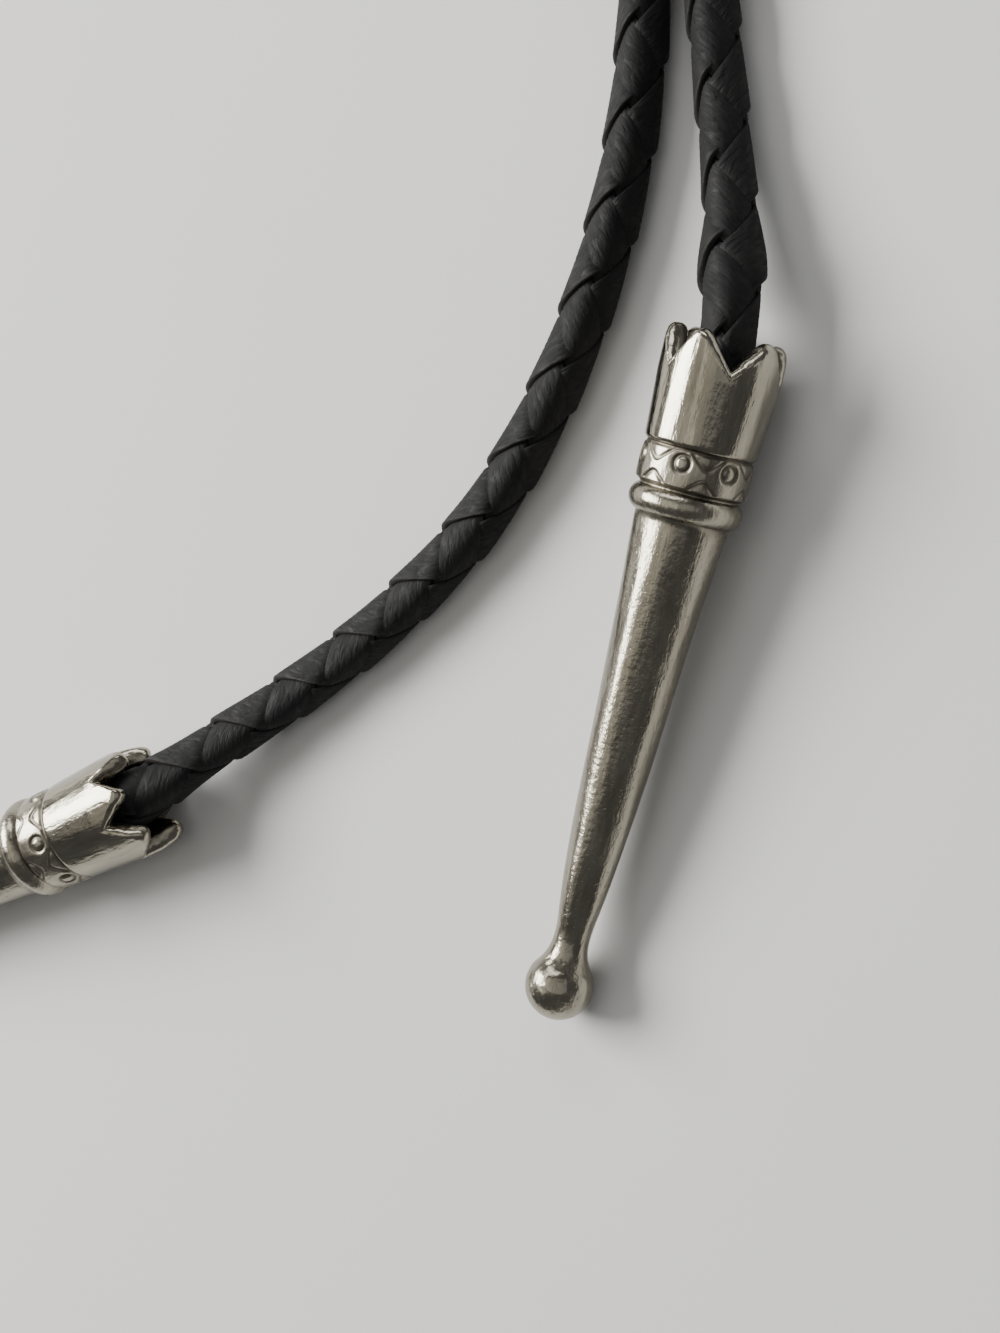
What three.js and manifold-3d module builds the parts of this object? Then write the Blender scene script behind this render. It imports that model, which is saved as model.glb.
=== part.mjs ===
// Bolo tie: a braided leather cord with two cast metal tips and a plain slide, lying on a flat surface.
// Millimetres. +X runs across the tie, +Y from the tips towards the neck loop,
// +Z up off the surface. The origin is on the surface, under the middle of the whole tie.
import * as THREE from "three";
import { mergeVertices } from "three/addons/utils/BufferGeometryUtils.js";
import Module from "manifold-3d";

const wasm = await Module();
wasm.setup();

// ---------- Driving dimensions ----------
const gap = 0.3; // between pieces that touch on the real tie
const cordDiameter = 4.7;
const cordRadius = cordDiameter / 2;
const cordSides = 10;

// The casting, measured along its own axis from the middle of its ring bead, + towards the mouth.
const ringRadius = 5.0;
const ringHalfWidth = 1.3;
const ballRadius = 3.08;
const ballCentre = -44.15;
const neckPlace = -42.4; // where the ball runs into the neck
const bandEnd = 4.8;
const bandRadius = 4.9;
const grooveDepth = 0.18;
const sleeveRadius = 4.98;
const mouthRadius = 5.3;
const mouthInside = 3.5;
const crownHeight = 14.8;
const crownValley = 12.0;
const crownTipFlat = 0.18; // share of each point that is rounded off
const boreRadius = cordRadius + gap;
const boreFloor = 2.5;
const boreTop = 5.5;
const mouthFlare = 9.0; // where the bore has opened out to the mouth
const castingSegments = 48;
const ballRows = 8;

// The crown's six points, in degrees round the casting. Each valley is midway between two points.
const crownPointAngles = [0, 60, 135, 195, 255, 307.5];

// The tapering body under the ring bead.
const bodyProfile = [
  { along: -42.0, radius: 2.27 },
  { along: -41.5, radius: 1.98 },
  { along: -41.0, radius: 1.8 },
  { along: -40.3, radius: 1.66 },
  { along: -39.5, radius: 1.61 },
  { along: -38.5, radius: 1.66 },
  { along: -37.0, radius: 1.84 },
  { along: -35.0, radius: 2.08 },
  { along: -32.0, radius: 2.34 },
  { along: -28.0, radius: 2.62 },
  { along: -24.0, radius: 2.87 },
  { along: -18.0, radius: 3.16 },
  { along: -12.0, radius: 3.44 },
  { along: -8.0, radius: 3.7 },
  { along: -4.0, radius: 3.97 },
  { along: -1.8, radius: 4.1 },
];

// Where each casting lies: the foot of its ring bead, the heading of its mouth from +X,
// and how far it is turned about its own axis.
const tips = [
  { name: "tip_left", x: -58.8, y: -201.9, heading: 21.7, roll: -5.8 },
  { name: "tip_right", x: 9.4, y: -170.4, heading: 73.2, roll: -66 },
];

// The slide: a flat plate on a flat tunnel that holds both cords side by side.
const slideX = 7.6;
const slideY = -95.2;
const cordPitch = 5.2; // between the two cords in the tunnel
const tunnelWall = 1.0;
const tunnelLength = 24;
const tunnelWidth = cordPitch + cordDiameter + 2 * gap + 2 * tunnelWall;
const tunnelHeight = cordDiameter + 2 * gap + 2 * tunnelWall;
const tunnelCorner = 2.4;
const plateWidth = 30;
const plateLength = 38;
const plateThickness = 2.0;
const plateBevel = 0.5;
const plateUnderside = 6.8;

// The cord's route, as points on its middle line. The three stretches meet in the slide's tunnel.
const cords = [
  {
    name: "cord_end_left",
    steps: 13,
    points: [
      [5.0, -95.35, 3.65],
      [5.0, -109.2, 3.6],
      [4.7, -123.2, 2.45],
      [3.3, -137.2, 2.35],
      [-0.1, -150.0, 2.35],
      [-5.1, -161.2, 2.35],
      [-12.0, -171.3, 2.35],
      [-21.0, -179.7, 2.35],
      [-30.7, -186.5, 2.6],
      [-39.3, -191.9, 3.9],
      [-46.0, -196.2, 5.3],
      [-51.4, -198.95, 5.36],
      [-56.2, -200.87, 5.12],
    ],
  },
  {
    name: "cord_end_right",
    steps: 8,
    points: [
      [10.2, -95.35, 3.65],
      [10.2, -109.2, 3.6],
      [10.6, -123.2, 2.5],
      [11.9, -136.2, 2.6],
      [13.3, -147.7, 4.1],
      [13.5, -156.2, 5.6],
      [11.7, -162.75, 5.36],
      [10.2, -167.7, 5.12],
    ],
  },
  {
    name: "cord_neck_loop",
    steps: 59,
    points: [
      [5.0, -95.05, 3.65],
      [4.9, -79.2, 3.5],
      [-4.4, -40.2, 2.35],
      [-26.4, -2.2, 2.35],
      [-51.4, 35.8, 2.35],
      [-73.4, 76.8, 2.35],
      [-84.7, 121.8, 2.35],
      [-78.4, 166.8, 2.35],
      [-46.4, 203.8, 2.35],
      [7.6, 219.0, 2.35],
      [61.6, 203.8, 2.35],
      [93.6, 166.8, 2.35],
      [99.9, 121.8, 2.35],
      [88.6, 76.8, 2.35],
      [66.6, 35.8, 2.35],
      [41.6, -2.2, 2.35],
      [19.6, -40.2, 2.35],
      [10.3, -79.2, 3.5],
      [10.2, -95.05, 3.65],
    ],
  },
];

// ---------- Materials ----------
const nickelSilver = new THREE.MeshStandardMaterial({ color: 0x8d8a84, roughness: 0.25, metalness: 1 });
const blackLeather = new THREE.MeshStandardMaterial({ color: 0x1a1a1b, roughness: 0.6, metalness: 0 });
const plainMetal = new THREE.MeshStandardMaterial({ color: 0x9a9690, roughness: 0.3, metalness: 1 });

// ---------- Joining solids ----------
function solidOf(geometry) {
  const bare = geometry.clone();
  bare.deleteAttribute("normal");
  bare.deleteAttribute("uv");
  const merged = mergeVertices(bare, 1e-4);
  const mesh = new wasm.Mesh({
    numProp: 3,
    vertProperties: merged.attributes.position.array,
    triVerts: new Uint32Array(merged.index.array),
  });
  return new wasm.Manifold(mesh);
}

function geometryOf(solid) {
  const mesh = solid.getMesh();
  const geometry = new THREE.BufferGeometry();
  geometry.setAttribute("position", new THREE.BufferAttribute(mesh.vertProperties, 3));
  geometry.setIndex(new THREE.BufferAttribute(mesh.triVerts, 1));
  return geometry;
}

// ---------- The casting ----------
// Height of the crown's rim at an angle round the casting: straight slopes between points and
// valleys, with the top of each point rounded off.
function crownRim(degrees) {
  const turn = ((degrees % 360) + 360) % 360;
  const count = crownPointAngles.length;
  let rise = 0;
  for (let i = 0; i < count; i++) {
    const start = crownPointAngles[i];
    const end = i + 1 < count ? crownPointAngles[i + 1] : crownPointAngles[0] + 360;
    if (turn < start || turn > end) continue;
    const half = (end - start) / 2;
    rise = Math.abs(turn - (start + end) / 2) / half;
  }
  const rounded = Math.min(rise, 1 - crownTipFlat) / (1 - crownTipFlat);
  return crownValley + (crownHeight - crownValley) * rounded;
}

// The half outline that is turned about the casting's axis: from the ball's bottom, up the outside
// to the mouth's rim, and down the bore to its floor. Each point is (radius, place along the axis).
function castingOutline() {
  const outline = [new THREE.Vector2(0, ballCentre - ballRadius)];
  const ballTop = Math.acos((neckPlace - ballCentre) / ballRadius);
  for (let i = 1; i <= ballRows; i++) {
    const swing = Math.PI - ((Math.PI - ballTop) * i) / ballRows;
    outline.push(new THREE.Vector2(ballRadius * Math.sin(swing), ballCentre + ballRadius * Math.cos(swing)));
  }
  bodyProfile.forEach((row) => outline.push(new THREE.Vector2(row.radius, row.along)));
  for (const degrees of [-60, -20, 20, 60]) {
    const angle = THREE.MathUtils.degToRad(degrees);
    const out = ringRadius - ringHalfWidth + ringHalfWidth * Math.cos(angle);
    outline.push(new THREE.Vector2(out, ringHalfWidth * Math.sin(angle)));
  }
  outline.push(new THREE.Vector2(bandRadius - 0.1, ringHalfWidth + 0.3));
  outline.push(new THREE.Vector2(bandRadius, (ringHalfWidth + bandEnd) / 2));
  outline.push(new THREE.Vector2(sleeveRadius, bandEnd - 0.3));
  outline.push(new THREE.Vector2(sleeveRadius - grooveDepth, bandEnd));
  outline.push(new THREE.Vector2(sleeveRadius, bandEnd + 0.3));
  outline.push(new THREE.Vector2(mouthRadius, crownValley - 1));
  outline.push(new THREE.Vector2(mouthRadius, crownHeight));
  outline.push(new THREE.Vector2(mouthInside, crownHeight));
  outline.push(new THREE.Vector2(mouthInside, crownValley - 1));
  outline.push(new THREE.Vector2(mouthInside - 0.2, mouthFlare));
  outline.push(new THREE.Vector2(boreRadius, boreTop));
  outline.push(new THREE.Vector2(boreRadius, boreFloor));
  outline.push(new THREE.Vector2(0, boreFloor));
  return outline;
}

function castingGeometry() {
  const geometry = new THREE.LatheGeometry(castingOutline(), castingSegments);
  const place = geometry.attributes.position;
  for (let i = 0; i < place.count; i++) {
    if (place.getY(i) < crownHeight - 1e-6) continue;
    const degrees = THREE.MathUtils.radToDeg(Math.atan2(place.getX(i), place.getZ(i)));
    place.setY(i, crownRim(Math.round(degrees * 1000) / 1000));
  }
  return geometry;
}

// The casting rests on its ring bead and its ball, so its axis slopes up towards the mouth.
function restingTilt() {
  let tilt = 0;
  const hub = ringRadius - ringHalfWidth;
  for (let i = 0; i < 20; i++) {
    tilt = Math.asin((ringHalfWidth + hub * Math.cos(tilt) - ballRadius) / -ballCentre);
  }
  return tilt;
}

function makeTip(tip) {
  const mesh = new THREE.Mesh(castingGeometry(), nickelSilver);
  const tilt = restingTilt();
  const heading = THREE.MathUtils.degToRad(tip.heading - 90);
  const roll = THREE.MathUtils.degToRad(tip.roll);
  mesh.name = tip.name;
  mesh.rotation.set(tilt, roll, heading, "ZXY");
  mesh.position.set(tip.x, tip.y, ballRadius - ballCentre * Math.sin(tilt));
  return mesh;
}

// ---------- The cord ----------
function makeCord(cord) {
  const points = cord.points.map((p) => new THREE.Vector3(...p));
  const route = new THREE.CatmullRomCurve3(points, false, "centripetal");
  const section = new THREE.Shape();
  for (let i = 0; i < cordSides; i++) {
    const angle = (2 * Math.PI * i) / cordSides;
    const x = cordRadius * Math.cos(angle);
    const y = cordRadius * Math.sin(angle);
    if (i === 0) section.moveTo(x, y);
    else section.lineTo(x, y);
  }
  section.closePath();
  const options = { steps: cord.steps, extrudePath: route, bevelEnabled: false };
  const mesh = new THREE.Mesh(new THREE.ExtrudeGeometry(section, options), blackLeather);
  mesh.name = cord.name;
  return mesh;
}

// ---------- The slide ----------
function roundedOutline(path, width, height, corner) {
  const x = width / 2;
  const y = height / 2;
  path.moveTo(-x + corner, -y);
  path.lineTo(x - corner, -y);
  path.absarc(x - corner, -y + corner, corner, -Math.PI / 2, 0);
  path.lineTo(x, y - corner);
  path.absarc(x - corner, y - corner, corner, 0, Math.PI / 2);
  path.lineTo(-x + corner, y);
  path.absarc(-x + corner, y - corner, corner, Math.PI / 2, Math.PI);
  path.lineTo(-x, -y + corner);
  path.absarc(-x + corner, -y + corner, corner, Math.PI, 1.5 * Math.PI);
  return path;
}

function makeSlide() {
  const profile = roundedOutline(new THREE.Shape(), tunnelWidth, tunnelHeight, tunnelCorner);
  const inside = [tunnelWidth - 2 * tunnelWall, tunnelHeight - 2 * tunnelWall, tunnelCorner - tunnelWall];
  profile.holes.push(roundedOutline(new THREE.Path(), ...inside));
  const tunnelOptions = { depth: tunnelLength, bevelEnabled: false, curveSegments: 5 };
  const tunnel = new THREE.ExtrudeGeometry(profile, tunnelOptions);
  tunnel.rotateX(Math.PI / 2);
  tunnel.translate(0, tunnelLength / 2, tunnelHeight / 2);

  const oval = new THREE.Shape();
  oval.absellipse(0, 0, plateWidth / 2 - plateBevel, plateLength / 2 - plateBevel, 0, 2 * Math.PI);
  const plateOptions = {
    depth: plateThickness - 2 * plateBevel,
    bevelThickness: plateBevel,
    bevelSize: plateBevel,
    bevelSegments: 2,
    curveSegments: 24,
  };
  const plate = new THREE.ExtrudeGeometry(oval, plateOptions);
  plate.translate(0, 0, plateUnderside + plateBevel);

  const mesh = new THREE.Mesh(geometryOf(solidOf(tunnel).add(solidOf(plate))), plainMetal);
  mesh.name = "slide";
  mesh.position.set(slideX, slideY, 0);
  return mesh;
}

// ---------- The whole tie ----------
const boloTie = new THREE.Group();
tips.forEach((tip) => boloTie.add(makeTip(tip)));
cords.forEach((cord) => boloTie.add(makeCord(cord)));
boloTie.add(makeSlide());

export default boloTie;
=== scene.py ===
"""Bolo tie: a braided leather cord with two crown-mouthed cast tips and a plain oval slide, laid flat.

Every shape is worked out in millimetres and becomes metres as it is put into a mesh. The tie lies on
the surface z = 0, with its tips towards -Y and its neck loop towards +Y.
"""

import math

import bmesh
import bpy
import numpy as np
from mathutils import Matrix


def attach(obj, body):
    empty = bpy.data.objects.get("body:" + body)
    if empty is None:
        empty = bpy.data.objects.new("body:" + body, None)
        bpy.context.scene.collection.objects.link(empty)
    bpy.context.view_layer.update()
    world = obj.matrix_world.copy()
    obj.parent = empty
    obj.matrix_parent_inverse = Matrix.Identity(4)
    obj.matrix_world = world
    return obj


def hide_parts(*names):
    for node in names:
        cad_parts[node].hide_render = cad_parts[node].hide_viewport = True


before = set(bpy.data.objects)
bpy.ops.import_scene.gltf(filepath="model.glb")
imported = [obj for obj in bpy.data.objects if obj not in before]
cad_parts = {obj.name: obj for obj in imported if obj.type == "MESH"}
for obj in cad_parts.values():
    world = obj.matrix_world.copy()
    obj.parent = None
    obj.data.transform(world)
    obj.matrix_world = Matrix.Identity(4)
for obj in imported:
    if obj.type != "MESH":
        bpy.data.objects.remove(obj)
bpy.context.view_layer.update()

MM = 0.001


# ---------------------------------------------------------------- camera

CAMERA_PLACE = np.array([79.66, -185.47, 188.41]) * MM
CAMERA_DIRECTION = np.array([-0.43241, 0.00606, -0.90166])
CAMERA_LENS, CAMERA_SENSOR = 61.5, 36


def new_object(name, data):
    """An object of a mesh, lamp or camera, put into the scene."""
    item = bpy.data.objects.new(name, data)
    bpy.context.scene.collection.objects.link(item)
    return item


def matrix_at(place, back):
    """The matrix of a camera or lamp at a place, which looks away from the direction back and has
    its right side at right angles to +Y."""
    back = back / np.linalg.norm(back)
    right = np.cross([0, 1, 0], back)
    right /= np.linalg.norm(right)
    matrix = np.eye(4)
    matrix[:3] = np.stack([right, np.cross(back, right), back, place], 1)
    return Matrix(matrix.tolist())


def make_camera():
    """A camera whose picture's upright is the tie's own +Y, looking along CAMERA_DIRECTION."""
    data = bpy.data.cameras.new("camera")
    data.lens = CAMERA_LENS
    data.sensor_width = CAMERA_SENSOR
    data.clip_start = 0.01
    data.clip_end = 10
    camera = new_object("camera", data)
    camera.matrix_world = matrix_at(CAMERA_PLACE, -CAMERA_DIRECTION)
    bpy.context.scene.camera = camera


make_camera()


# ---------------------------------------------------------------- meshes from grids

def smoothstep(x, low, high):
    """0 below low, 1 above high, and the soft S-curve 3t^2 - 2t^3 between."""
    t = np.clip((x - low) / (high - low), 0, 1)
    return t * t * (3 - 2 * t)


def zone(x, start, full, fading, end):
    """1 from full to fading, 0 below start and above end, and smoothsteps between."""
    return smoothstep(x, start, full) * smoothstep(-x, -end, -fading)


def grid_faces(rows, columns, start=0, closed=False):
    """Four-cornered faces of a grid that closes round on itself along its columns, and from its last
    row to its first as well if it is closed."""
    row, column = np.meshgrid(np.arange(rows if closed else rows - 1), np.arange(columns), indexing="ij")
    row_after, column_after = (row + 1) % rows, (column + 1) % columns
    corners = [row * columns + column, row * columns + column_after,
               row_after * columns + column_after, row_after * columns + column]
    return np.stack(corners, -1).reshape(-1, 4) + start


def smooth_all(mesh):
    """Shades every face of a mesh smooth."""
    mesh.polygons.foreach_set("use_smooth", np.ones(len(mesh.polygons), bool))


def make_piece(name, points, faces, material, attributes=None):
    """A smooth mesh object from points in millimetres and a list of face arrays. Attributes are one
    three-number value a point, kept in the mesh for its material to read."""
    mesh = bpy.data.meshes.new(name)
    mesh.from_pydata((points * MM).tolist(), [], [f for part in faces for f in part.tolist()])
    for key, values in (attributes or {}).items():
        layer = mesh.attributes.new(key, "FLOAT_VECTOR", "POINT")
        layer.data.foreach_set("vector", values.astype(np.float32).ravel())
    smooth_all(mesh)
    mesh.materials.append(material)
    mesh.update()
    return new_object(name, mesh)


def close_poles(piece):
    """Joins the points that meet at a pole, fills any hole left, and turns every face outwards."""
    work = bmesh.new()
    work.from_mesh(piece.data)
    bmesh.ops.remove_doubles(work, verts=work.verts, dist=1e-6)
    bmesh.ops.dissolve_degenerate(work, edges=work.edges, dist=1e-7)
    holes = [edge for edge in work.edges if edge.is_boundary]
    if holes:
        bmesh.ops.holes_fill(work, edges=holes, sides=0)
    bmesh.ops.recalc_face_normals(work, faces=work.faces)
    work.to_mesh(piece.data)
    work.free()
    smooth_all(piece.data)


# ---------------------------------------------------------------- nodes of a material

def new_material(name, colour, **sockets):
    """A material of one shader, with its colour and any sockets named (_ for a space) set on it."""
    material = bpy.data.materials.new(name)
    material.use_nodes = True
    shader = material.node_tree.nodes["Principled BSDF"]
    shader.inputs["Base Color"].default_value = (*colour, 1)
    for key, value in sockets.items():
        shader.inputs[key.replace("_", " ")].default_value = value
    return material, material.node_tree, shader


def add(tree, kind, inputs=None, **settings):
    """A node of one kind. Inputs are numbers, colours or other nodes' outputs, by socket name or place."""
    node = tree.nodes.new("ShaderNode" + kind)
    for key, value in settings.items():
        setattr(node, key, value)
    for key, value in (inputs or {}).items():
        if isinstance(value, bpy.types.NodeSocket):
            tree.links.new(value, node.inputs[key])
        else:
            node.inputs[key].default_value = value
    return node


def attribute(tree, name):
    """A piece's own attribute, as a vector."""
    return add(tree, "Attribute", attribute_name=name).outputs["Vector"]


def parts_of(tree, vector):
    """The three numbers of a vector, as the outputs X, Y and Z."""
    return add(tree, "SeparateXYZ", {"Vector": vector}).outputs


def stretched(tree, vector, stretch, turn=(0, 0, 0)):
    """A vector turned, and stretched along its three directions."""
    inputs = {"Vector": vector, "Scale": stretch, "Rotation": turn}
    return add(tree, "Mapping", inputs).outputs["Vector"]


def noise(tree, vector, scale, detail=2.0, roughness=0.5, distortion=0.0):
    """A cloudy pattern from 0 to 1, whose patches are about 1 / scale across."""
    inputs = {"Vector": vector, "Scale": scale, "Detail": detail, "Roughness": roughness,
              "Distortion": distortion}
    return add(tree, "TexNoise", inputs).outputs["Fac"]


def remap(tree, value, from_low, from_high, to_low, to_high):
    """A number carried in a straight line from one range to another, and held at its ends."""
    inputs = {"Value": value, "From Min": from_low, "From Max": from_high,
              "To Min": to_low, "To Max": to_high}
    return add(tree, "MapRange", inputs).outputs["Result"]


def blend(tree, share, first, second):
    """One colour turning into another. The node's inputs 0, 6 and 7 are its share and two colours."""
    return add(tree, "Mix", {0: share, 6: first, 7: second}, data_type="RGBA").outputs[2]


def maths(tree, operation, *values):
    """Two numbers put together by one operation, such as MULTIPLY or MAXIMUM."""
    return add(tree, "Math", dict(enumerate(values)), operation=operation).outputs[0]


def total(tree, first, *others):
    """The sum of several numbers."""
    for other in others:
        first = maths(tree, "ADD", first, other)
    return first


def bump(tree, height, distance_mm, strength=1.0, under=None):
    """A fine relief of a height pattern, distance_mm deep, laid over another one if it is given."""
    inputs = {"Height": height, "Distance": distance_mm * MM, "Strength": strength}
    if under is not None:
        inputs["Normal"] = under
    return add(tree, "Bump", inputs).outputs["Normal"]


# ---------------------------------------------------------------- materials

DEEP_DYE, THIN_DYE = (0.0162, 0.0167, 0.0172, 1), (0.0218, 0.0220, 0.0220, 1)
# Paler colour of the laces' cut edges: partly rubbed leather, partly a painted highlight for the light the
# edges catch.
EDGE_WEAR_AND_HIGHLIGHT_COLOUR = (0.050, 0.048, 0.046, 1)
DULL_METAL, BRIGHT_METAL = (0.256, 0.236, 0.187, 1), (0.380, 0.353, 0.292, 1)
# Brown-black of the castings' stained grooves and marks, and of the inside of their bore, coloured darker
# deep down.
DARKENED_METAL = (0.045, 0.037, 0.030, 1)
DULL_SLIDE, BRIGHT_SLIDE = (0.55, 0.535, 0.51, 1), (0.66, 0.65, 0.63, 1)
DARK_SHEET, LIGHT_SHEET = (0.72, 0.72, 0.715, 1), (0.74, 0.74, 0.735, 1)


def leather_material():
    """Black dyed lace leather: fine pebble grain, short wrinkles along each lace's length, shallow
    dents, and cut edges painted a little paler, partly as rubbing and partly as a painted highlight.
    It is smoothest on the wrinkles' tops. The lace attribute is (place across a lace, place along it,
    how far its edge is painted paler)."""
    material, tree, shader = new_material("black_lace_leather", (0.008, 0.008, 0.008),
                                          Specular_IOR_Level=0.10)
    lace = attribute(tree, "lace")
    flat = stretched(tree, lace, (1, 1, 0))
    grain = noise(tree, flat, 5.0, 3, 0.65)
    wrinkle = noise(tree, stretched(tree, lace, (2.6, 0.75, 0)), 1.0, 2, 0.55, 0.5)
    dents = noise(tree, flat, 0.8, 3, 0.55)
    patches = noise(tree, flat, 0.35, 2, 0.5)
    # The cut edges are painted paler, partly as rubbing and partly as a painted highlight.
    edge_wear_and_highlight = remap(tree, parts_of(tree, lace)["Z"], 0.45, 1.0, 0.0, 0.7)
    dye = blend(tree, remap(tree, patches, 0.35, 0.7, 0, 1), DEEP_DYE, THIN_DYE)
    tree.links.new(blend(tree, edge_wear_and_highlight, dye, EDGE_WEAR_AND_HIGHLIGHT_COLOUR), shader.inputs["Base Color"])
    tree.links.new(remap(tree, wrinkle, 0.42, 0.72, 0.72, 0.42), shader.inputs["Roughness"])
    soft = bump(tree, dents, 0.10, 0.6)
    folds = bump(tree, wrinkle, 0.18, 1.0, soft)
    tree.links.new(bump(tree, grain, 0.03, 0.8, folds), shader.inputs["Normal"])
    return material


def cast_metal_material():
    """Antiqued cast nickel silver: a warm grey polish that wanders, brown-black in its recesses,
    with long faint ripples, and fine pits that come thicker on the tapering body than on the sleeve.
    The casting attribute is a point's place on the casting's own axes, and the finish attribute is
    how far it is (stained in its grooves and marks and coloured darker deep in its bore, left
    unpolished, lumpy)."""
    material, tree, shader = new_material("antiqued_nickel", (0.33, 0.31, 0.27), Metallic=1.0)
    casting = attribute(tree, "casting")
    along = parts_of(tree, casting)["Y"]
    on_body = remap(tree, along, 2.0, -4.0, 0.0, 1.0)
    on_ball = remap(tree, along, -38.0, -41.5, 0.0, 1.0)
    finish = parts_of(tree, attribute(tree, "finish"))
    stain_and_bore_dark, unpolished, lumpy = finish["X"], finish["Y"], finish["Z"]

    ripple = noise(tree, stretched(tree, casting, (1.0, 0.22, 1.0)), 0.6, 4, 0.6)
    skin = noise(tree, casting, 1.9, 3, 0.6)
    lumps = noise(tree, casting, 0.7, 1, 0.5)
    pits = remap(tree, noise(tree, casting, 2.4, 2, 0.6), 0.62, 0.76, 0.0, 1.0)
    pits = maths(tree, "MULTIPLY", pits, remap(tree, on_body, 0, 1, 0.2, 0.8))
    polish = noise(tree, stretched(tree, casting, (1, 0.2, 1)), 0.9, 4, 0.65)

    # Pits, grooves and marks are stained, and the bore is coloured darker deep down.
    darkening = maths(tree, "MAXIMUM", maths(tree, "MULTIPLY", pits, 0.35), stain_and_bore_dark)
    metal = blend(tree, remap(tree, polish, 0.3, 0.7, 0, 1), DULL_METAL, BRIGHT_METAL)
    tree.links.new(blend(tree, darkening, metal, DARKENED_METAL), shader.inputs["Base Color"])
    rough = total(tree, remap(tree, polish, 0.3, 0.7, 0.11, 0.22), maths(tree, "MULTIPLY", darkening, 0.28),
                  maths(tree, "MULTIPLY", on_body, 0.07), maths(tree, "MULTIPLY", unpolished, 0.26))
    tree.links.new(rough, shader.inputs["Roughness"])

    lumpiness = maths(tree, "MAXIMUM", maths(tree, "MULTIPLY", on_ball, 0.8), lumpy)
    unevenness = maths(tree, "MAXIMUM", remap(tree, on_body, 0, 1, 0.35, 1.0), unpolished)
    shape = bump(tree, ripple, 0.16, 0.7)
    shape = bump(tree, lumps, 0.22, lumpiness, shape)
    shape = bump(tree, skin, 0.042, unevenness, shape)
    shape = bump(tree, maths(tree, "MULTIPLY", pits, -1.0), 0.03, 0.7, shape)
    tree.links.new(shape, shader.inputs["Normal"])
    return material


def slide_metal_material():
    """Plain polished nickel with a fine cross-hatch of handling scratches."""
    material, tree, shader = new_material("polished_nickel", (0.60, 0.59, 0.57), Metallic=1.0)
    place = add(tree, "TexCoord").outputs["Object"]
    along = stretched(tree, place, (300, 6000, 3000))
    across = stretched(tree, place, (5000, 260, 3000), (0, 0, 0.6))
    scratches = total(tree, noise(tree, along, 1.0, 3, 0.7), noise(tree, across, 1.0, 3, 0.7))
    cloud = noise(tree, place, 160, 3, 0.5)
    tree.links.new(blend(tree, cloud, DULL_SLIDE, BRIGHT_SLIDE), shader.inputs["Base Color"])
    tree.links.new(remap(tree, cloud, 0.3, 0.7, 0.16, 0.27), shader.inputs["Roughness"])
    tree.links.new(bump(tree, scratches, 0.01, 0.5), shader.inputs["Normal"])
    return material


def floor_material():
    """A pale matt sheet."""
    material, tree, shader = new_material("pale_sheet", (0.73, 0.73, 0.72), Roughness=0.9)
    cloud = noise(tree, add(tree, "TexCoord").outputs["Object"], 30, 2)
    tree.links.new(blend(tree, cloud, DARK_SHEET, LIGHT_SHEET), shader.inputs["Base Color"])
    return material


LEATHER = leather_material()
CAST_METAL = cast_metal_material()
SLIDE_METAL = slide_metal_material()


# ---------------------------------------------------------------- the cord's route

SLIDE_X, SLIDE_Y = 7.6, -95.2
CORD_PITCH = 5.2  # between the two cords in the slide's tunnel
LEFT_X, RIGHT_X = SLIDE_X - CORD_PITCH / 2, SLIDE_X + CORD_PITCH / 2

LEFT_END_ROUTE = [
    (LEFT_X, -95.35, 3.65), (LEFT_X, -109.2, 3.6), (4.7, -123.2, 2.45), (3.3, -137.2, 2.35),
    (-0.1, -150.0, 2.35), (-5.1, -161.2, 2.35), (-12.0, -171.3, 2.35), (-21.0, -179.7, 2.35),
    (-30.7, -186.5, 2.6), (-39.3, -191.9, 3.9), (-46.0, -196.2, 5.3), (-51.4, -198.95, 5.36),
    (-56.2, -200.87, 5.12),
]
RIGHT_END_ROUTE = [
    (RIGHT_X, -95.35, 3.65), (RIGHT_X, -109.2, 3.6), (10.6, -123.2, 2.5), (11.9, -136.2, 2.6),
    (13.3, -147.7, 4.1), (13.5, -156.2, 5.6), (11.7, -162.75, 5.36), (10.2, -167.7, 5.12),
]
NECK_LOOP_ROUTE = [
    (LEFT_X, -95.05, 3.65), (4.9, -79.2, 3.5), (-4.4, -40.2, 2.35), (-26.4, -2.2, 2.35),
    (-51.4, 35.8, 2.35), (-73.4, 76.8, 2.35), (-84.7, 121.8, 2.35), (-78.4, 166.8, 2.35),
    (-46.4, 203.8, 2.35), (7.6, 219.0, 2.35), (61.6, 203.8, 2.35), (93.6, 166.8, 2.35),
    (99.9, 121.8, 2.35), (88.6, 76.8, 2.35), (66.6, 35.8, 2.35), (41.6, -2.2, 2.35),
    (19.6, -40.2, 2.35), (10.3, -79.2, 3.5), (RIGHT_X, -95.05, 3.65),
]


def cubic(t, start, end, leave, arrive):
    """The cubic from one value to another with a slope at each end, for t from 0 to 1."""
    return ((2 * t**3 - 3 * t**2 + 1) * start + (t**3 - 2 * t**2 + t) * leave
            + (3 * t**2 - 2 * t**3) * end + (t**3 - t**2) * arrive)


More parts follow.
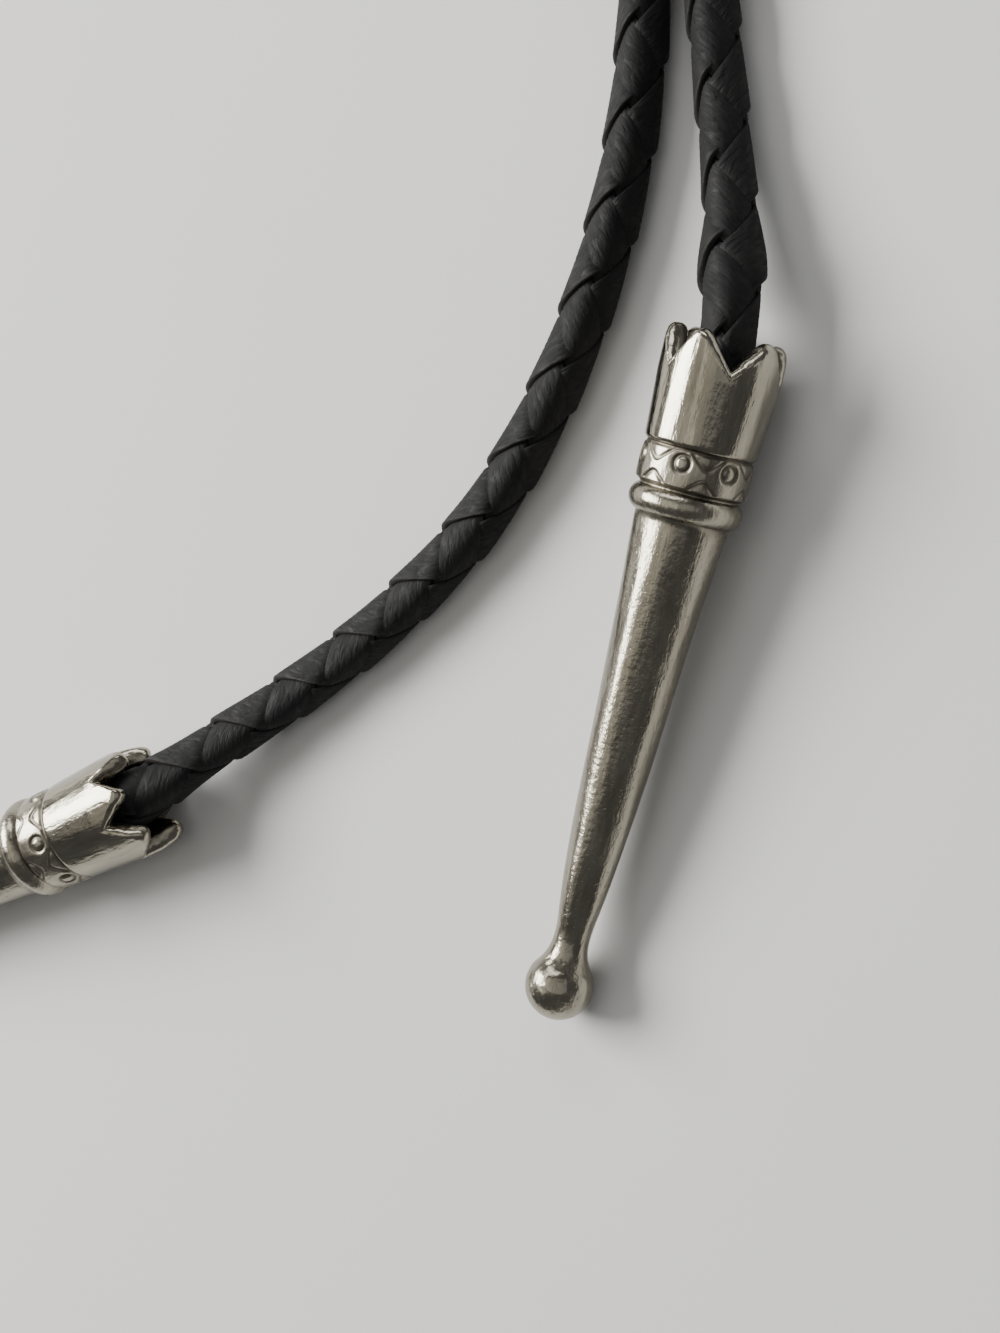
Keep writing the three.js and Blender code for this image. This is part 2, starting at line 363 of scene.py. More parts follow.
def smooth_route(points, step):
    """The centripetal Catmull-Rom curve through the points, at even steps of its own length."""
    knots = np.array(points, float)
    knots = np.vstack([2 * knots[0] - knots[1], knots, 2 * knots[-1] - knots[-2]])
    before, start, end, after = knots[:-3], knots[1:-2], knots[2:-1], knots[3:]
    root = [np.sqrt(np.linalg.norm(b - a, axis=1))[:, None]
            for a, b in ((before, start), (start, end), (end, after))]
    leave = ((start - before) / root[0] - (end - before) / (root[0] + root[1])
             + (end - start) / root[1]) * root[1]
    arrive = ((end - start) / root[1] - (after - start) / (root[1] + root[2])
              + (after - end) / root[2]) * root[1]
    t = np.linspace(0, 1, 80, endpoint=False)[None, :, None]
    curve = cubic(t, *(value[:, None] for value in (start, end, leave, arrive))).reshape(-1, 3)
    curve = np.vstack([curve, points[-1]])
    travelled = np.concatenate([[0], np.cumsum(np.linalg.norm(np.diff(curve, axis=0), axis=1))])
    at = np.linspace(0, travelled[-1], int(round(travelled[-1] / step)) + 1)
    return at, np.stack([np.interp(at, travelled, curve[:, k]) for k in range(3)], 1)


def directions_along(line):
    """At each point of a line: the level direction to its right, and its own up."""
    ahead = np.gradient(line, axis=0)
    ahead /= np.linalg.norm(ahead, axis=1)[:, None]
    side = np.cross(ahead, [0, 0, 1])
    side /= np.linalg.norm(side, axis=1)[:, None]
    return side, np.cross(side, ahead)


# ---------------------------------------------------------------- the braid

BRAID_LAY = 15.32  # length in which a lace goes once round the cord
LACE_THICKNESS = 0.66
LACE_MIDDLE = 1.68  # radius of the laces' middle layer
LACE_SLOPE = math.atan(2 * math.pi * LACE_MIDDLE / BRAID_LAY)
LACE_FLAT = 0.94  # share of a lace's breadth that is flat, inside its rounded corners
LACE_CORNER_DROP = 0.8  # of its corners, as a share of half its thickness
CORE_RADIUS, CORE_CORNERS = 1.2, 12
CORE_EVERY = 4  # the core has a ring of points to every fourth ring of a lace
SQUARENESS = 0.05  # the braid's section is a soft square with its corners along the crossings
SWELLING_REACH = 4.0  # length in which a swelling sinks to about a third, each way along the cord
PATTERN_STEP = 9.7  # sets the laces apart in the leather's pattern, so that no two have the same grain
LOWER_EDGE_WEAR_AND_HIGHLIGHT = 0.4  # the rubbing and painted highlight of the edge further from the tip, as a share of the other's

# The two laces that wind one way are flat with crisp cut edges, the edge nearer the tip standing up.
# The two that wind the other way are broader and thin out to soft edges pressed into their neighbours.
# The last number of each is how far its cut edges are painted paler, partly as rubbing and partly as a
# painted highlight.
FLAT_LACE = {"hand": 1, "breadth": 0.88, "wave": 0.29, "lean": -0.15, "steepness": 3.5, "lead": 0.45,
             "thinning": 0.05, "edge_wear_and_highlight": 1.0}
SOFT_LACE = {"hand": -1, "breadth": 0.98, "wave": 0.24, "lean": 0.0, "steepness": 2.6, "lead": 0.12,
             "thinning": 0.9, "edge_wear_and_highlight": 0.2}


def lace_section(top, corner):
    """A lace's cut section, from one edge over its top and back under: (across from -1 to 1, height
    from -1 to 1), a flat strip with its corners rounded off. Top and corner are how many points the
    flat of its top and each rounded corner get."""
    turn = np.linspace(0, math.pi / 2, corner)
    rim = np.stack([LACE_FLAT + (1 - LACE_FLAT) * np.sin(turn), 1 - LACE_CORNER_DROP * (1 - np.cos(turn))], 1)
    flat = np.stack([np.linspace(-LACE_FLAT, LACE_FLAT, top + 2)[1:-1], np.ones(top)], 1)
    upper = np.vstack([rim[::-1] * [-1, 1], flat, rim])
    return np.vstack([upper, upper[::-1] * [1, -1]])


def swing(phase, steepness, lead):
    """A cosine pushed towards a square wave and lifted by a lead, so that a lace comes up early and
    goes down late: tanh(steepness * (cosine + lead)), scaled back to a top of 1."""
    return np.tanh(steepness * (np.cos(phase) + lead)) / math.tanh(steepness * (1 + lead))


def with_middles(grid):
    """A grid's points row by row, then the middle of its first row and the middle of its last."""
    return np.vstack([grid.reshape(-1, 3), grid[0].mean(0), grid[-1].mean(0)])


def lace_faces(rows, columns, start):
    """A lace's faces: its grid, and at each end a fan round the middle point there."""
    first, last = start + rows * columns, start + rows * columns + 1
    end = start + (rows - 1) * columns
    loop = np.arange(columns)
    after = np.roll(loop, -1)
    return [grid_faces(rows, columns, start)[:, ::-1],
            np.stack([0 * loop + first, start + loop, start + after], 1),
            np.stack([0 * loop + last, end + after, end + loop], 1)]


def core_faces(rows, columns, start):
    """The core's faces: its grid, and one face over each end."""
    end = start + (rows - 1) * columns
    return [grid_faces(rows, columns, start)[:, ::-1], np.arange(start, start + columns)[None],
            np.arange(end, end + columns)[None, ::-1]]


def lace_surface(kind, number, section, at, around, swelling):
    """One lace of the braid: every point's angle round the cord and its radius, as braid describes
    them, and what its leather reads: (place across the lace, place along it, how far its edge is
    painted paler, as rubbing and as a painted highlight)."""
    hand = kind["hand"]
    across, high = section[:, 0][None, :], section[:, 1][None, :]
    body = np.where(high > 0, high * (1 - kind["thinning"] * np.abs(across) ** 4), high)
    wide = across * kind["breadth"] * math.pi / 2
    phase = wide + 2 * hand * around + (0 if hand > 0 else math.pi)
    radius = (LACE_MIDDLE + kind["wave"] * swing(phase, kind["steepness"], kind["lead"])
              + kind["lean"] * across + body * LACE_THICKNESS / 2)
    radius = radius * swelling * (1 + SQUARENESS * np.cos(4 * (wide + hand * around)))
    reach = LACE_MIDDLE * wide
    # Its cut edges, the one nearer the tip most, are painted paler: partly rubbing, partly a painted
    # highlight.
    edge_wear_and_highlight = kind["edge_wear_and_highlight"] * np.where(across < 0, 1.0, LOWER_EDGE_WEAR_AND_HIGHLIGHT) * np.abs(across) ** 6
    leather = np.stack([
        reach * math.cos(LACE_SLOPE) + PATTERN_STEP * (2 * number + hand) + 0 * at,
        at / math.cos(LACE_SLOPE) + hand * reach * math.sin(LACE_SLOPE),
        edge_wear_and_highlight + 0 * at], -1)
    return math.pi * number + wide + hand * around, radius, leather


def braid(name, route, step, section, first_crossing, facing, loosening=(0.0, 0.0)):
    """Four laces braided round a core along a route. Two laces wind one way and two the other, each
    up to half the way round at any place. A lace's surface is at
        middle radius + wave * swing(place round the cord and along it) + lean * across
    and half its thickness out or in from there, so it passes over one lace and under the next; all
    of it grows and shrinks by SQUARENESS * cos(4 * place round the cord). The laces cross at
    first_crossing, and again every half lay, on the line along the cord that looks towards facing.
    What would reach below the surface it lies on is pressed flat on it.
    Loosening is (place along the cord, share by which the braid swells there)."""
    at, line = smooth_route(route, step)
    side, up = directions_along(line)
    face = np.arctan2(side @ facing, up @ facing)[:, None]
    at = at[:, None]
    around = 2 * math.pi * (at - first_crossing) / BRAID_LAY
    swelling = 1 + loosening[1] * np.exp(-((at - loosening[0]) / SWELLING_REACH) ** 2)

    def rings(every, angle, radius):
        out = np.sin(angle)[..., None] * side[every, None] + np.cos(angle)[..., None] * up[every, None]
        return line[every, None] + radius * out

    points, faces, lace, start = [], [], [], 0
    for kind in (FLAT_LACE, SOFT_LACE):
        for number in range(2):
            angle, radius, leather = lace_surface(kind, number, section, at, around, swelling)
            grid = rings(slice(None), angle + face - math.pi / 2, radius[..., None])
            grid[..., 2] = np.maximum(grid[..., 2], 0)
            points.append(with_middles(grid))
            lace.append(with_middles(leather))
            faces += lace_faces(*grid.shape[:2], start)
            start += len(points[-1])
    turn = np.linspace(0, 2 * math.pi, CORE_CORNERS, endpoint=False)[None]
    core = rings(slice(None, None, CORE_EVERY), turn, CORE_RADIUS)
    points.append(core.reshape(-1, 3))
    lace.append(0 * points[-1])
    faces += core_faces(*core.shape[:2], start)
    piece = make_piece(name, np.vstack(points), faces, LEATHER, {"lace": np.vstack(lace)})
    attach(piece, "root")
    return piece, line


FREE_END_FACING = np.array([0.02, -0.83, 1.0])
NECK_LOOP_FACING = np.array([0.0, 0.0, 1.0])
left_cord, left_line = braid(
    "braid_left", LEFT_END_ROUTE, step=0.30, section=lace_section(top=9, corner=4),
    first_crossing=62.95, facing=FREE_END_FACING, loosening=(123.5, 0.22))
right_cord, right_line = braid(
    "braid_right", RIGHT_END_ROUTE, step=0.25, section=lace_section(top=9, corner=4),
    first_crossing=0.0, facing=FREE_END_FACING, loosening=(55.0, 0.24))
neck_cord, _ = braid(
    "braid_neck", NECK_LOOP_ROUTE, step=0.75, section=lace_section(top=5, corner=3),
    first_crossing=0.0, facing=NECK_LOOP_FACING)


# ---------------------------------------------------------------- the castings' outline

# Places are along the casting from the middle of its ring bead, + towards the mouth.
RING_RADIUS, RING_HALF_WIDTH = 5.0, 1.3
RING_HUB = RING_RADIUS - RING_HALF_WIDTH  # radius at the middle of the ring's round section
BALL_RADIUS, BALL_CENTRE, NECK_PLACE = 3.08, -44.15, -42.6
BAND_START, BAND_END, BAND_RADIUS = 1.6, 4.8, 4.9
SLEEVE_START, SLEEVE_RADIUS, MOUTH_RADIUS, MOUTH_INSIDE = 5.35, 4.98, 5.3, 3.5
CROWN_HEIGHT, CROWN_VALLEY, CROWN_TIP_FLAT = 14.95, 12.0, 0.34
CROWN_FOOT = CROWN_VALLEY - 1  # from here up, the rows of points follow the crown
CROWN_ROUNDING = 0.82  # radius of the rim's two rounded lips
CROWN_POINTS = np.array([0, 60, 135, 195, 255, 307.5, 360])  # degrees round the casting
BORE_RADIUS, BORE_FLOOR, BORE_TOP = 2.65, 2.5, 5.5
MOUTH_FLARE, FLARE_RADIUS = 9.0, MOUTH_INSIDE - 0.2  # where the bore has opened out, and how far
BODY_PROFILE = np.array([
    (-42.2, 2.37), (-41.8, 2.14), (-41.4, 1.94), (-41.0, 1.80), (-40.3, 1.66), (-39.5, 1.61), (-38.5, 1.66),
    (-37.0, 1.84), (-35.0, 2.08), (-32.0, 2.34), (-28.0, 2.62), (-24.0, 2.87), (-18.0, 3.16), (-12.0, 3.44),
    (-8.0, 3.70), (-4.0, 3.97), (-1.8, 4.10),
])
RING_TO_BAND = np.array([(1.30, 4.42), (1.42, 4.60), (1.52, 4.74)])
BAND_PROFILE = np.array([(BAND_START, 4.82), (2.2, 4.88), (3.05, BAND_RADIUS), (3.9, 4.88), (4.5, 4.82)])
BAND_TO_SLEEVE = np.array([
    (4.58, 4.76), (4.66, 4.66), (BAND_END, 4.62), (4.90, 4.68), (4.97, 4.80), (5.07, 4.90), (5.2, 4.96),
])
COLUMNS = 288  # points round the casting


def crown_rim(degrees):
    """Height of the mouth's rim: straight slopes between points and valleys, with each point's top
    rounded off. A valley is midway between two points."""
    turn = np.mod(degrees, 360)
    after = np.searchsorted(CROWN_POINTS, turn, side="right").clip(1, len(CROWN_POINTS) - 1)
    start, end = CROWN_POINTS[after - 1], CROWN_POINTS[after]
    rise = np.abs(turn - (start + end) / 2) / ((end - start) / 2)
    soft = CROWN_TIP_FLAT
    capped = np.where(rise > 1 - soft, 1 - soft / 2 - (1 - rise) ** 2 / (2 * soft), rise)
    return CROWN_VALLEY + (CROWN_HEIGHT - CROWN_VALLEY) * capped / (1 - soft / 2)


def smooth_profile(rows, at):
    """A soft curve through (along, radius) rows, at given places along it: a cubic between every two
    rows, with the slope at each row taken from its neighbours."""
    x, y = rows[:, 0], rows[:, 1]
    slope = np.gradient(y, x)
    k = np.searchsorted(x, at, side="right").clip(1, len(x) - 1) - 1
    h = x[k + 1] - x[k]
    return np.stack([at, cubic((at - x[k]) / h, y[k], y[k + 1], h * slope[k], h * slope[k + 1])], 1)


def arc(centre_along, centre_radius, radius, start, end, count):
    """Points on a circle's arc, by the angle from straight out, + towards the mouth."""
    turn = np.radians(np.linspace(start, end, count))
    return np.stack([centre_along + radius * np.sin(turn), centre_radius + radius * np.cos(turn)], 1)


def ramp(start, end, count):
    """Points on a straight line from one (along, radius) up to, not including, the next."""
    t = np.linspace(0, 1, count, endpoint=False)[:, None]
    return np.array(start) * (1 - t) + np.array(end) * t


def outside_rows():
    """The casting's outside as (along, radius) rows, from the ball's pole to the foot of the crown."""
    up_to_neck = NECK_PLACE - BALL_CENTRE
    neck = (NECK_PLACE, math.sqrt(BALL_RADIUS**2 - up_to_neck**2))
    ball_end = math.degrees(math.asin(up_to_neck / BALL_RADIUS))
    fine_end, body_end = -36, BODY_PROFILE[-1, 0]  # the rows lie closer together from the neck to -36
    body = np.concatenate([np.arange(NECK_PLACE, fine_end, 0.2), np.linspace(fine_end, body_end, 70)])
    return np.vstack([
        arc(BALL_CENTRE, 0, BALL_RADIUS, -90, ball_end, 40)[:-1],
        smooth_profile(np.vstack([neck, BODY_PROFILE]), body),
        arc(0, RING_HUB, RING_HALF_WIDTH, -72, 62, 26),
        RING_TO_BAND,
        smooth_profile(BAND_PROFILE, np.linspace(BAND_START, BAND_PROFILE[-1, 0], 40)),
        BAND_TO_SLEEVE,
        ramp((SLEEVE_START, SLEEVE_RADIUS), (CROWN_FOOT, MOUTH_RADIUS), 26),
    ])


def bore_rows():
    """The bore as (along, radius) rows, from the foot of the crown down to the middle of its floor."""
    return np.vstack([
        ramp((CROWN_FOOT - 0.05, MOUTH_INSIDE), (MOUTH_FLARE, FLARE_RADIUS), 6),
        ramp((MOUTH_FLARE, FLARE_RADIUS), (BORE_TOP, BORE_RADIUS), 8),
        ramp((BORE_TOP, BORE_RADIUS), (BORE_FLOOR, BORE_RADIUS), 6),
        ramp((BORE_FLOOR, BORE_RADIUS), (BORE_FLOOR, 0), 4),
        [[BORE_FLOOR, 0]],
    ])


def casting_rows():
    """The casting's outline from the ball's pole up the outside, over the rim and down the bore. It
    gives each row's (along, radius), its share of the crown's rise, the lift that rounds the rim's
    lips, whether it is on the outer skin, and how roughcast it is."""
    outside, bore = outside_rows(), bore_rows()
    climb = np.linspace(0, 1, 18)[:-1]
    turn = np.radians(np.linspace(0, 90, 7))
    from_wall, from_top = 1 - np.cos(turn), 1 - np.sin(turn)
    face = np.linspace(MOUTH_RADIUS - CROWN_ROUNDING, MOUTH_INSIDE + CROWN_ROUNDING, 7)[1:-1]
    # Outer wall, outer lip, face of the rim, inner lip and inner wall: the rows' radius, share of the
    # crown's rise, lift in roundings, and how roughcast they are.
    crown = (
        (MOUTH_RADIUS + 0 * climb, climb, -climb, 0 * climb),
        (MOUTH_RADIUS - CROWN_ROUNDING * from_wall, 1 + 0 * turn, -from_top, 0.1 + 0 * turn),
        (face, 1 + 0 * face, 0 * face, 0.3 + 0 * face),
        (MOUTH_INSIDE + CROWN_ROUNDING * from_top, 1 + 0 * turn, -from_wall, 0.45 + 0 * turn),
        (MOUTH_INSIDE + 0 * climb, climb[::-1], -climb[::-1], 0.9 + 0 * climb),
    )
    radius, share, lift, roughcast = (np.concatenate(column) for column in zip(*crown))
    rows = np.vstack([outside, np.stack([CROWN_FOOT + 0 * radius, radius], 1), bore])

    def whole(column, in_bore=0):
        """The crown's values with 0 for the outside's rows before them, and the bore's after."""
        return np.concatenate([np.zeros(len(outside)), column, np.full(len(bore), in_bore)])[:, None]

    skin = np.arange(len(rows))[:, None] < len(outside) + len(climb)
    return rows, whole(share), whole(CROWN_ROUNDING * lift), skin, whole(roughcast, 1)


# ---------------------------------------------------------------- the castings' ornament and skin

MARK_PLACE = 3.6  # of the ring marks' middles, along the casting
MARK_RADIUS, MARK_DEPTH, MARK_SOFTNESS = 0.73, 0.20, 0.17
BOSS_RADIUS, BOSS_HEIGHT = 0.5, 0.05  # the middle of a ring mark stands up a little
MARK_ANGLES = np.array([14, 73, 125, 185, 245, 308.0])
WEDGE_ANGLES = (MARK_ANGLES + np.append(MARK_ANGLES[1:], MARK_ANGLES[0] + 360)) / 2
# Each row of wedges: the band's edge it stands on, the way it points, half its width there, its depth.
WEDGE_ROWS = ((4.62, -1, 1.25, 1.15), (1.52, 1, 1.05, 0.95))
WEDGE_BLUNTNESS, WEDGE_SOFTNESS = 0.25, 0.13  # of its point, and of the line that is cut round it
WEDGE_CUT, WEDGE_SINK = 0.15, 0.12  # depth of that line, and of the face within it

SEAM_ANGLE, SEAM_HEIGHT, SEAM_SPREAD = 59, 0.24, 24  # where the mould's halves met, filed to a soft ridge
SKIN_WANDER = 0.02

# Places along the casting where each zone starts, is full, starts to fade and ends.
RELIEF_ZONE = (BAND_START - 0.1, BAND_START + 0.1, BAND_END - 0.3, BAND_END - 0.15)
BAND_ZONE = (1.2, 1.6, 4.5, 4.9)
RING_ZONE = (-1.6, -1.2, 1.3, 1.5)
SEAM_ZONE = (-42, -37, -9, -1)

STAINED_GROOVES = ((4.8, 0.2), (1.38, 0.2), (-1.5, 0.25))  # (place along the casting, width)
# The last value is how much darker the inside of the bore is coloured, deep down.
GROOVE_STAIN, MARK_STAIN, WEDGE_STAIN, BORE_DARKENING = 0.85, 0.75, 0.85, 0.9
BORE_DARKENING_STARTS, BORE_DARKENING_FULL = 5.0, 4.0  # below the rim; along the casting
BAND_UNPOLISHED, RING_UNPOLISHED = 0.35, 0.25
BAND_LUMPY, RING_LUMPY = 0.25, 0.35
RIM_LUMPY_STARTS, RIM_LUMPY_FULL = 1.4, 0.6  # below the rim


def turned_from(degrees, angle):
    """How far round the casting a place is from an angle, from -180 to 180 degrees."""
    return np.mod(degrees - angle + 180, 360) - 180


def band_relief(degrees, along):
    """Height of the band's ornament above its plain surface, and how deep in a groove a point lies.
    Six ring grooves, soft in section, and between every two of them a pair of wedges cut in outline,
    one pointing in from each edge of the band, each with a face that sinks towards its point."""
    def away(angles):
        return np.radians(turned_from(degrees, angles[:, None, None])) * BAND_RADIUS

    reach = np.hypot(away(MARK_ANGLES), along[None] - MARK_PLACE)
    groove = np.exp(-((reach - MARK_RADIUS) / MARK_SOFTNESS) ** 2).max(0)
    boss = np.clip(1 - (reach / BOSS_RADIUS) ** 2, 0, 1).max(0)
    relief = BOSS_HEIGHT * boss - MARK_DEPTH * groove
    blunt = np.hypot(away(WEDGE_ANGLES), WEDGE_BLUNTNESS) - WEDGE_BLUNTNESS
    for edge, way, half, depth in WEDGE_ROWS:
        deep = (along - edge) * way / depth
        leg = (blunt - half * (1 - deep)) * depth / math.hypot(depth, half)
        cut = np.exp(-(leg / WEDGE_SOFTNESS) ** 2) * smoothstep(-deep, -1.25, -1.0) * (deep > -0.1)
        inside = smoothstep(-leg, 0.0, 0.2) * np.clip(deep, 0, 1)
        groove = np.maximum(groove, WEDGE_STAIN * cut.max(0))
        relief = relief - WEDGE_CUT * cut.max(0) - WEDGE_SINK * inside.max(0)
    on_band = zone(along, *RELIEF_ZONE)
    return relief * on_band, groove * on_band


def slow_waves(degrees, along, seed):
    """The sum of five waves round the casting, each of a drawn height, start and twist along it, so
    that no two castings are quite alike."""
    draw = np.random.default_rng(seed).uniform
    turn = np.radians(degrees)
    return sum(draw(0.3, 1) * np.cos(turn * waves + draw(0, 6.3) + along * draw(-0.5, 0.5))
               for waves in (2, 3, 4, 5, 7))


def casting_surface(seed):
    """Points of the casting on its own axes, in rows round it: x = r sin, y = along, z = r cos, with
    the band's relief on it and a skin that wanders a little, as a casting's does. Also its finish:
    how far each point is stained in its grooves and marks and coloured darker deep in its bore, is
    left unpolished and is lumpy."""
    rows, share, lift, skin, roughcast = casting_rows()
    degrees = np.arange(COLUMNS)[None] * 360 / COLUMNS
    rim = crown_rim(degrees)
    along = rows[:, :1] + share * (rim - CROWN_FOOT) + lift
    relief, sunk = band_relief(degrees[None], along)
    seam = SEAM_HEIGHT * np.exp(-(turned_from(degrees, SEAM_ANGLE) / SEAM_SPREAD) ** 2)
    seam = seam * zone(along, *SEAM_ZONE)
    wander = SKIN_WANDER * slow_waves(degrees, along, seed) * smoothstep(along, -41, -36)
    radius = rows[:, 1:] + skin * (relief + seam + wander)
    turn = np.radians(degrees)
    points = np.stack([radius * np.sin(turn), along, radius * np.cos(turn)], -1)

    grooves = sum(np.exp(-((along - place) / width) ** 2) for place, width in STAINED_GROOVES)
    # The bore is coloured darker from 5 mm below the rim, fully so 4 mm up from the ring bead's middle.
    down_bore = smoothstep(rim - along, BORE_DARKENING_STARTS, rim - BORE_DARKENING_FULL) * ~skin
    stain_and_bore_dark = skin * (GROOVE_STAIN * grooves + MARK_STAIN * sunk) + BORE_DARKENING * down_bore
    on_band, on_ring = zone(along, *BAND_ZONE), zone(along, *RING_ZONE)
    on_rim = smoothstep(along, rim - RIM_LUMPY_STARTS, rim - RIM_LUMPY_FULL) * (roughcast < 1)
    unpolished = np.maximum(roughcast, BAND_UNPOLISHED * on_band + RING_UNPOLISHED * on_ring)
    lumpy = on_rim + BAND_LUMPY * on_band + RING_LUMPY * on_ring
    return points, np.stack([np.clip(stain_and_bore_dark, 0, 1), unpolished, lumpy], -1)


# ---------------------------------------------------------------- the castings in place

def resting_tilt():
    """The casting rests on its ring bead and its ball, so its axis slopes up towards the mouth."""
    tilt = 0.0
    for _ in range(20):
        tilt = math.asin((RING_HALF_WIDTH + RING_HUB * math.cos(tilt) - BALL_RADIUS) / -BALL_CENTRE)
    return tilt


def turn_about(axis, angle):
    """The matrix of a turn about one of the axes x, y and z."""
    c, s = math.cos(angle), math.sin(angle)
    return np.array({"x": [[1, 0, 0], [0, c, -s], [0, s, c]],
                     "y": [[c, 0, s], [0, 1, 0], [-s, 0, c]],
                     "z": [[c, -s, 0], [s, c, 0], [0, 0, 1]]}[axis])


def make_tip(name, x, y, heading, roll, seed):
    """A casting with the middle of its ring bead over (x, y), its mouth pointing along heading, and
    turned by roll about its own axis, both in degrees."""
    tilt = resting_tilt()
    own, finish = casting_surface(seed)
    turn = turn_about("z", math.radians(heading - 90)) @ turn_about("x", tilt)
    turn = turn @ turn_about("y", math.radians(roll))
    middle = np.array([x, y, BALL_RADIUS - BALL_CENTRE * math.sin(tilt)])
    flat = own.reshape(-1, 3)
    piece = make_piece(name, flat @ turn.T + middle, [grid_faces(*own.shape[:2])], CAST_METAL,
                       {"casting": flat, "finish": finish.reshape(-1, 3)})
    close_poles(piece)
    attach(piece, "root")
    return piece


tip_left = make_tip("casting_left", x=-58.8, y=-201.9, heading=21.7, roll=-5.8, seed=3)
tip_right = make_tip("casting_right", x=9.4, y=-170.4, heading=73.2, roll=-66, seed=5)


# ---------------------------------------------------------------- the slide

TUNNEL_WALL, TUNNEL_LENGTH, TUNNEL_CORNER, TUNNEL_LIP = 1.0, 24, 2.4, 0.3
TUNNEL_WIDTH, TUNNEL_HEIGHT = 12.5, 7.3
PLATE_WIDTH, PLATE_LENGTH, PLATE_THICKNESS, PLATE_EDGE = 30, 38, 2.0, 0.7
PLATE_UNDERSIDE = 6.8  # height above the surface that the tie lies on
PLATE_COLUMNS, TUNNEL_COLUMNS = 192, 96


def rounded_box(width, height, corner):
    """Points round an upright box with rounded corners, as (x, z) from its middle: the corner's circle,
    with each quarter of it moved out to the box's own corner."""
    turn = np.linspace(0, 2 * math.pi, TUNNEL_COLUMNS, endpoint=False)
    around = np.stack([np.cos(turn), np.sin(turn)], 1)
    return 0.5 * np.sign(around) * (np.array([width, height]) - 2 * corner) + corner * around


def slide_plate():
    """The oval plate's rings of points, from the middle of its underside out, round its edge and back
    to the middle of its top: each the same oval, drawn in by the edge's quarter-rounds."""
    turn = np.linspace(0, 2 * math.pi, PLATE_COLUMNS, endpoint=False)
    over_edge = np.radians(np.linspace(-90, 90, 15))
    rounding = PLATE_EDGE * (1 - np.abs(np.sin(over_edge)))
    height = np.where(over_edge < 0, rounding, PLATE_THICKNESS - rounding)
    flat = np.linspace(1, 0.02, 14)[1:] * (PLATE_WIDTH / 2 - PLATE_EDGE)
    edge = PLATE_WIDTH / 2 - PLATE_EDGE * (1 - np.cos(over_edge))
    reach = np.concatenate([flat[::-1], edge, flat])[:, None]
    level = np.concatenate([0 * flat, height, PLATE_THICKNESS + 0 * flat])[:, None]
    x = reach * np.cos(turn)
    y = reach * PLATE_LENGTH / PLATE_WIDTH * np.sin(turn)
    return np.stack([SLIDE_X + x, SLIDE_Y + y, PLATE_UNDERSIDE + level + 0 * x], -1)


def slide_tunnel():
    """The flat tunnel's rings of points, carried along Y: outer wall, rounded lip, inner wall and lip."""
    outer = rounded_box(TUNNEL_WIDTH, TUNNEL_HEIGHT, TUNNEL_CORNER)
    inner = rounded_box(TUNNEL_WIDTH - 2 * TUNNEL_WALL, TUNNEL_HEIGHT - 2 * TUNNEL_WALL,
                        TUNNEL_CORNER - TUNNEL_WALL)
    half = TUNNEL_LENGTH / 2 - TUNNEL_LIP
    lip = np.radians(np.linspace(0, 180, 9))
    lip_share, lip_out = (1 - np.cos(lip)) / 2, TUNNEL_LIP * np.sin(lip)
    wall = np.linspace(-half, half, 12)
    length = np.concatenate([wall, half + lip_out[1:], wall[::-1][1:], -half - lip_out[1:-1]])[:, None]
    share = np.concatenate([0 * wall, lip_share[1:], 1 + 0 * wall[1:], 1 - lip_share[1:-1]])[:, None, None]
    ring = outer * (1 - share) + inner * share
    return np.stack([SLIDE_X + ring[..., 0], SLIDE_Y + length + 0 * ring[..., 0],
                     TUNNEL_HEIGHT / 2 + ring[..., 1]], -1)


def make_slide():
    """The oval plate on its tunnel, in one mesh."""
    plate, tunnel = slide_plate(), slide_tunnel()
    last = (len(plate) - 1) * PLATE_COLUMNS
    start = len(plate) * PLATE_COLUMNS
    faces = [grid_faces(len(plate), PLATE_COLUMNS), np.arange(PLATE_COLUMNS)[None, ::-1],
             np.arange(last, start)[None], grid_faces(len(tunnel), TUNNEL_COLUMNS, start, closed=True)]
    points = np.vstack([plate.reshape(-1, 3), tunnel.reshape(-1, 3)])
    piece = make_piece("slide_plate", points, faces, SLIDE_METAL)
    close_poles(piece)
    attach(piece, "root")
    return piece


slide = make_slide()


# ---------------------------------------------------------------- the CAD parts that the pieces replace, hidden

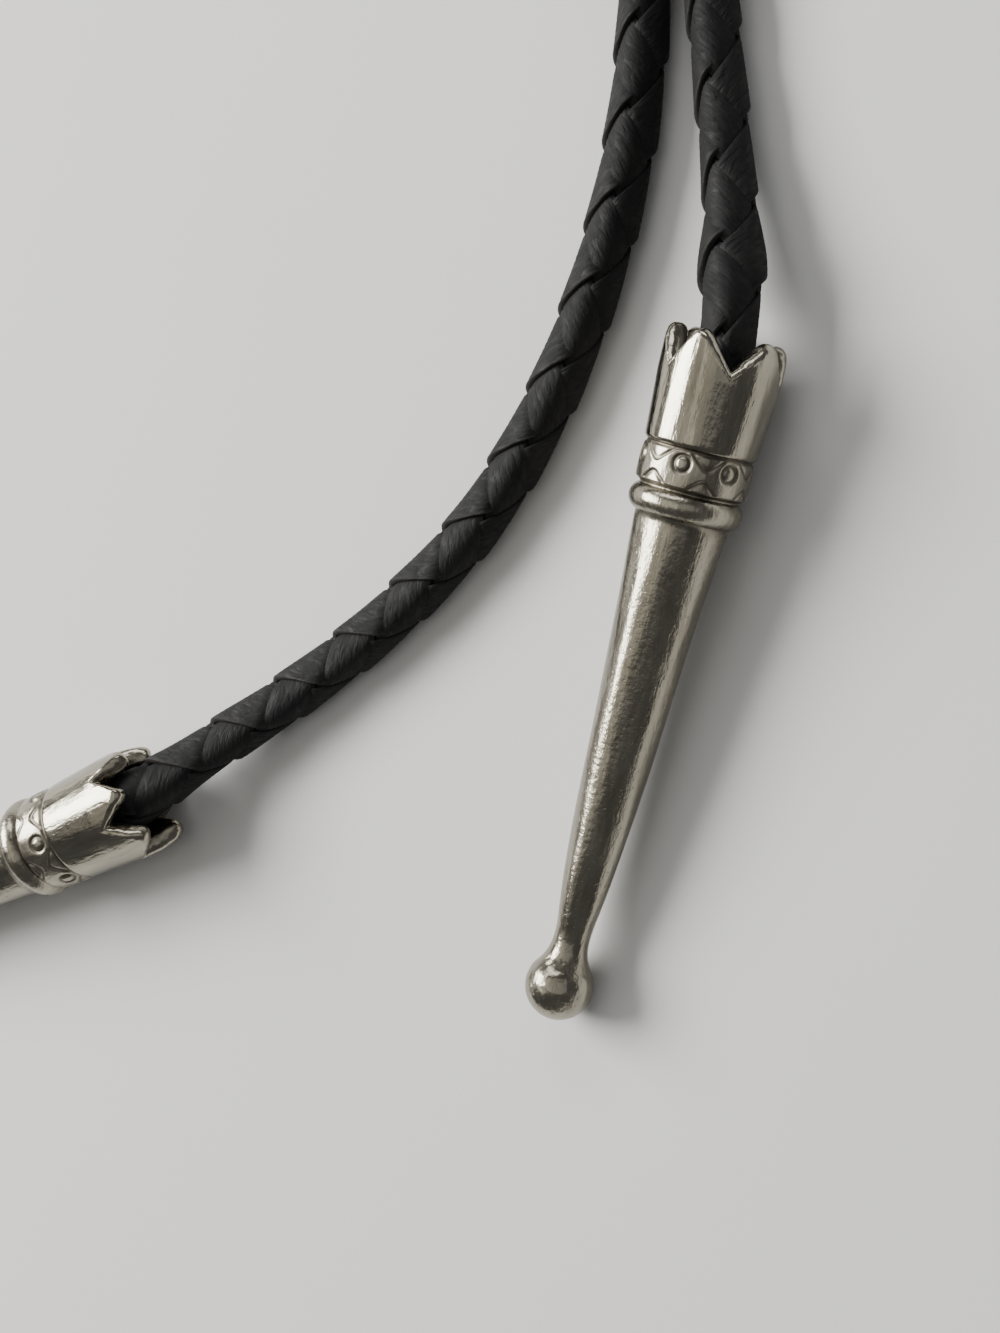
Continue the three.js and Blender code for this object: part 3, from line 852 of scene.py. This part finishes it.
for piece, node in ((left_cord, "cord_end_left"), (right_cord, "cord_end_right"),
                    (neck_cord, "cord_neck_loop"), (tip_left, "tip_left"), (tip_right, "tip_right"),
                    (slide, "slide")):
    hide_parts(node)


# ---------------------------------------------------------------- floor and lights

FLOOR_REACH = 4.0  # metres each way, far wider than the tie
LAMPS_AIM = np.array([0, -0.18, 0])  # in metres, as lamps' distances and sizes are
ROOM_COLOUR, ROOM_STRENGTH = (0.98, 0.99, 1.0, 1), 0.14
WARM_WHITE = (1.0, 0.97, 0.88)


def make_floor():
    """One flat sheet."""
    mesh = bpy.data.meshes.new("floor")
    wide = FLOOR_REACH
    mesh.from_pydata([(-wide, -wide, 0), (wide, -wide, 0), (wide, wide, 0), (-wide, wide, 0)], [],
                     [(0, 1, 2, 3)])
    mesh.materials.append(floor_material())
    new_object("floor", mesh)


def make_room():
    """The faint even light from all round."""
    world = bpy.data.worlds.new("room")
    world.use_nodes = True
    background = world.node_tree.nodes["Background"]
    background.inputs["Color"].default_value = ROOM_COLOUR
    background.inputs["Strength"].default_value = ROOM_STRENGTH
    bpy.context.scene.world = world


def softbox(name, direction, distance, size, watts, tint=(1, 1, 1)):
    """A rectangular lamp at a distance along a direction from LAMPS_AIM, turned to face it."""
    data = bpy.data.lights.new(name, "AREA")
    data.shape = "RECTANGLE"
    data.size, data.size_y = size
    data.energy = watts
    data.color = tint
    back = np.array(direction) / np.linalg.norm(direction)
    new_object(name, data).matrix_world = matrix_at(LAMPS_AIM + back * distance, back)


make_floor()
make_room()
softbox("key", (-0.77, 0.28, 0.57), 0.90, (0.46, 0.60), 18.5, (1.0, 0.985, 0.95))
softbox("ceiling", (-0.18, 0.05, 1.0), 1.30, (1.15, 1.0), 1.9, WARM_WHITE)
softbox("strip", (-0.15, 0.05, 1.0), 1.20, (0.20, 1.0), 0.35, WARM_WHITE)
softbox("side", (-0.592, -0.251, 0.766), 1.00, (0.24, 0.50), 0.17, (1.0, 0.96, 0.86))
softbox("fill", (0.58, 0.05, 1.0), 1.40, (0.85, 1.0), 0.95)
softbox("far", (-0.05, 0.88, 0.55), 1.20, (0.80, 0.36), 3.8)
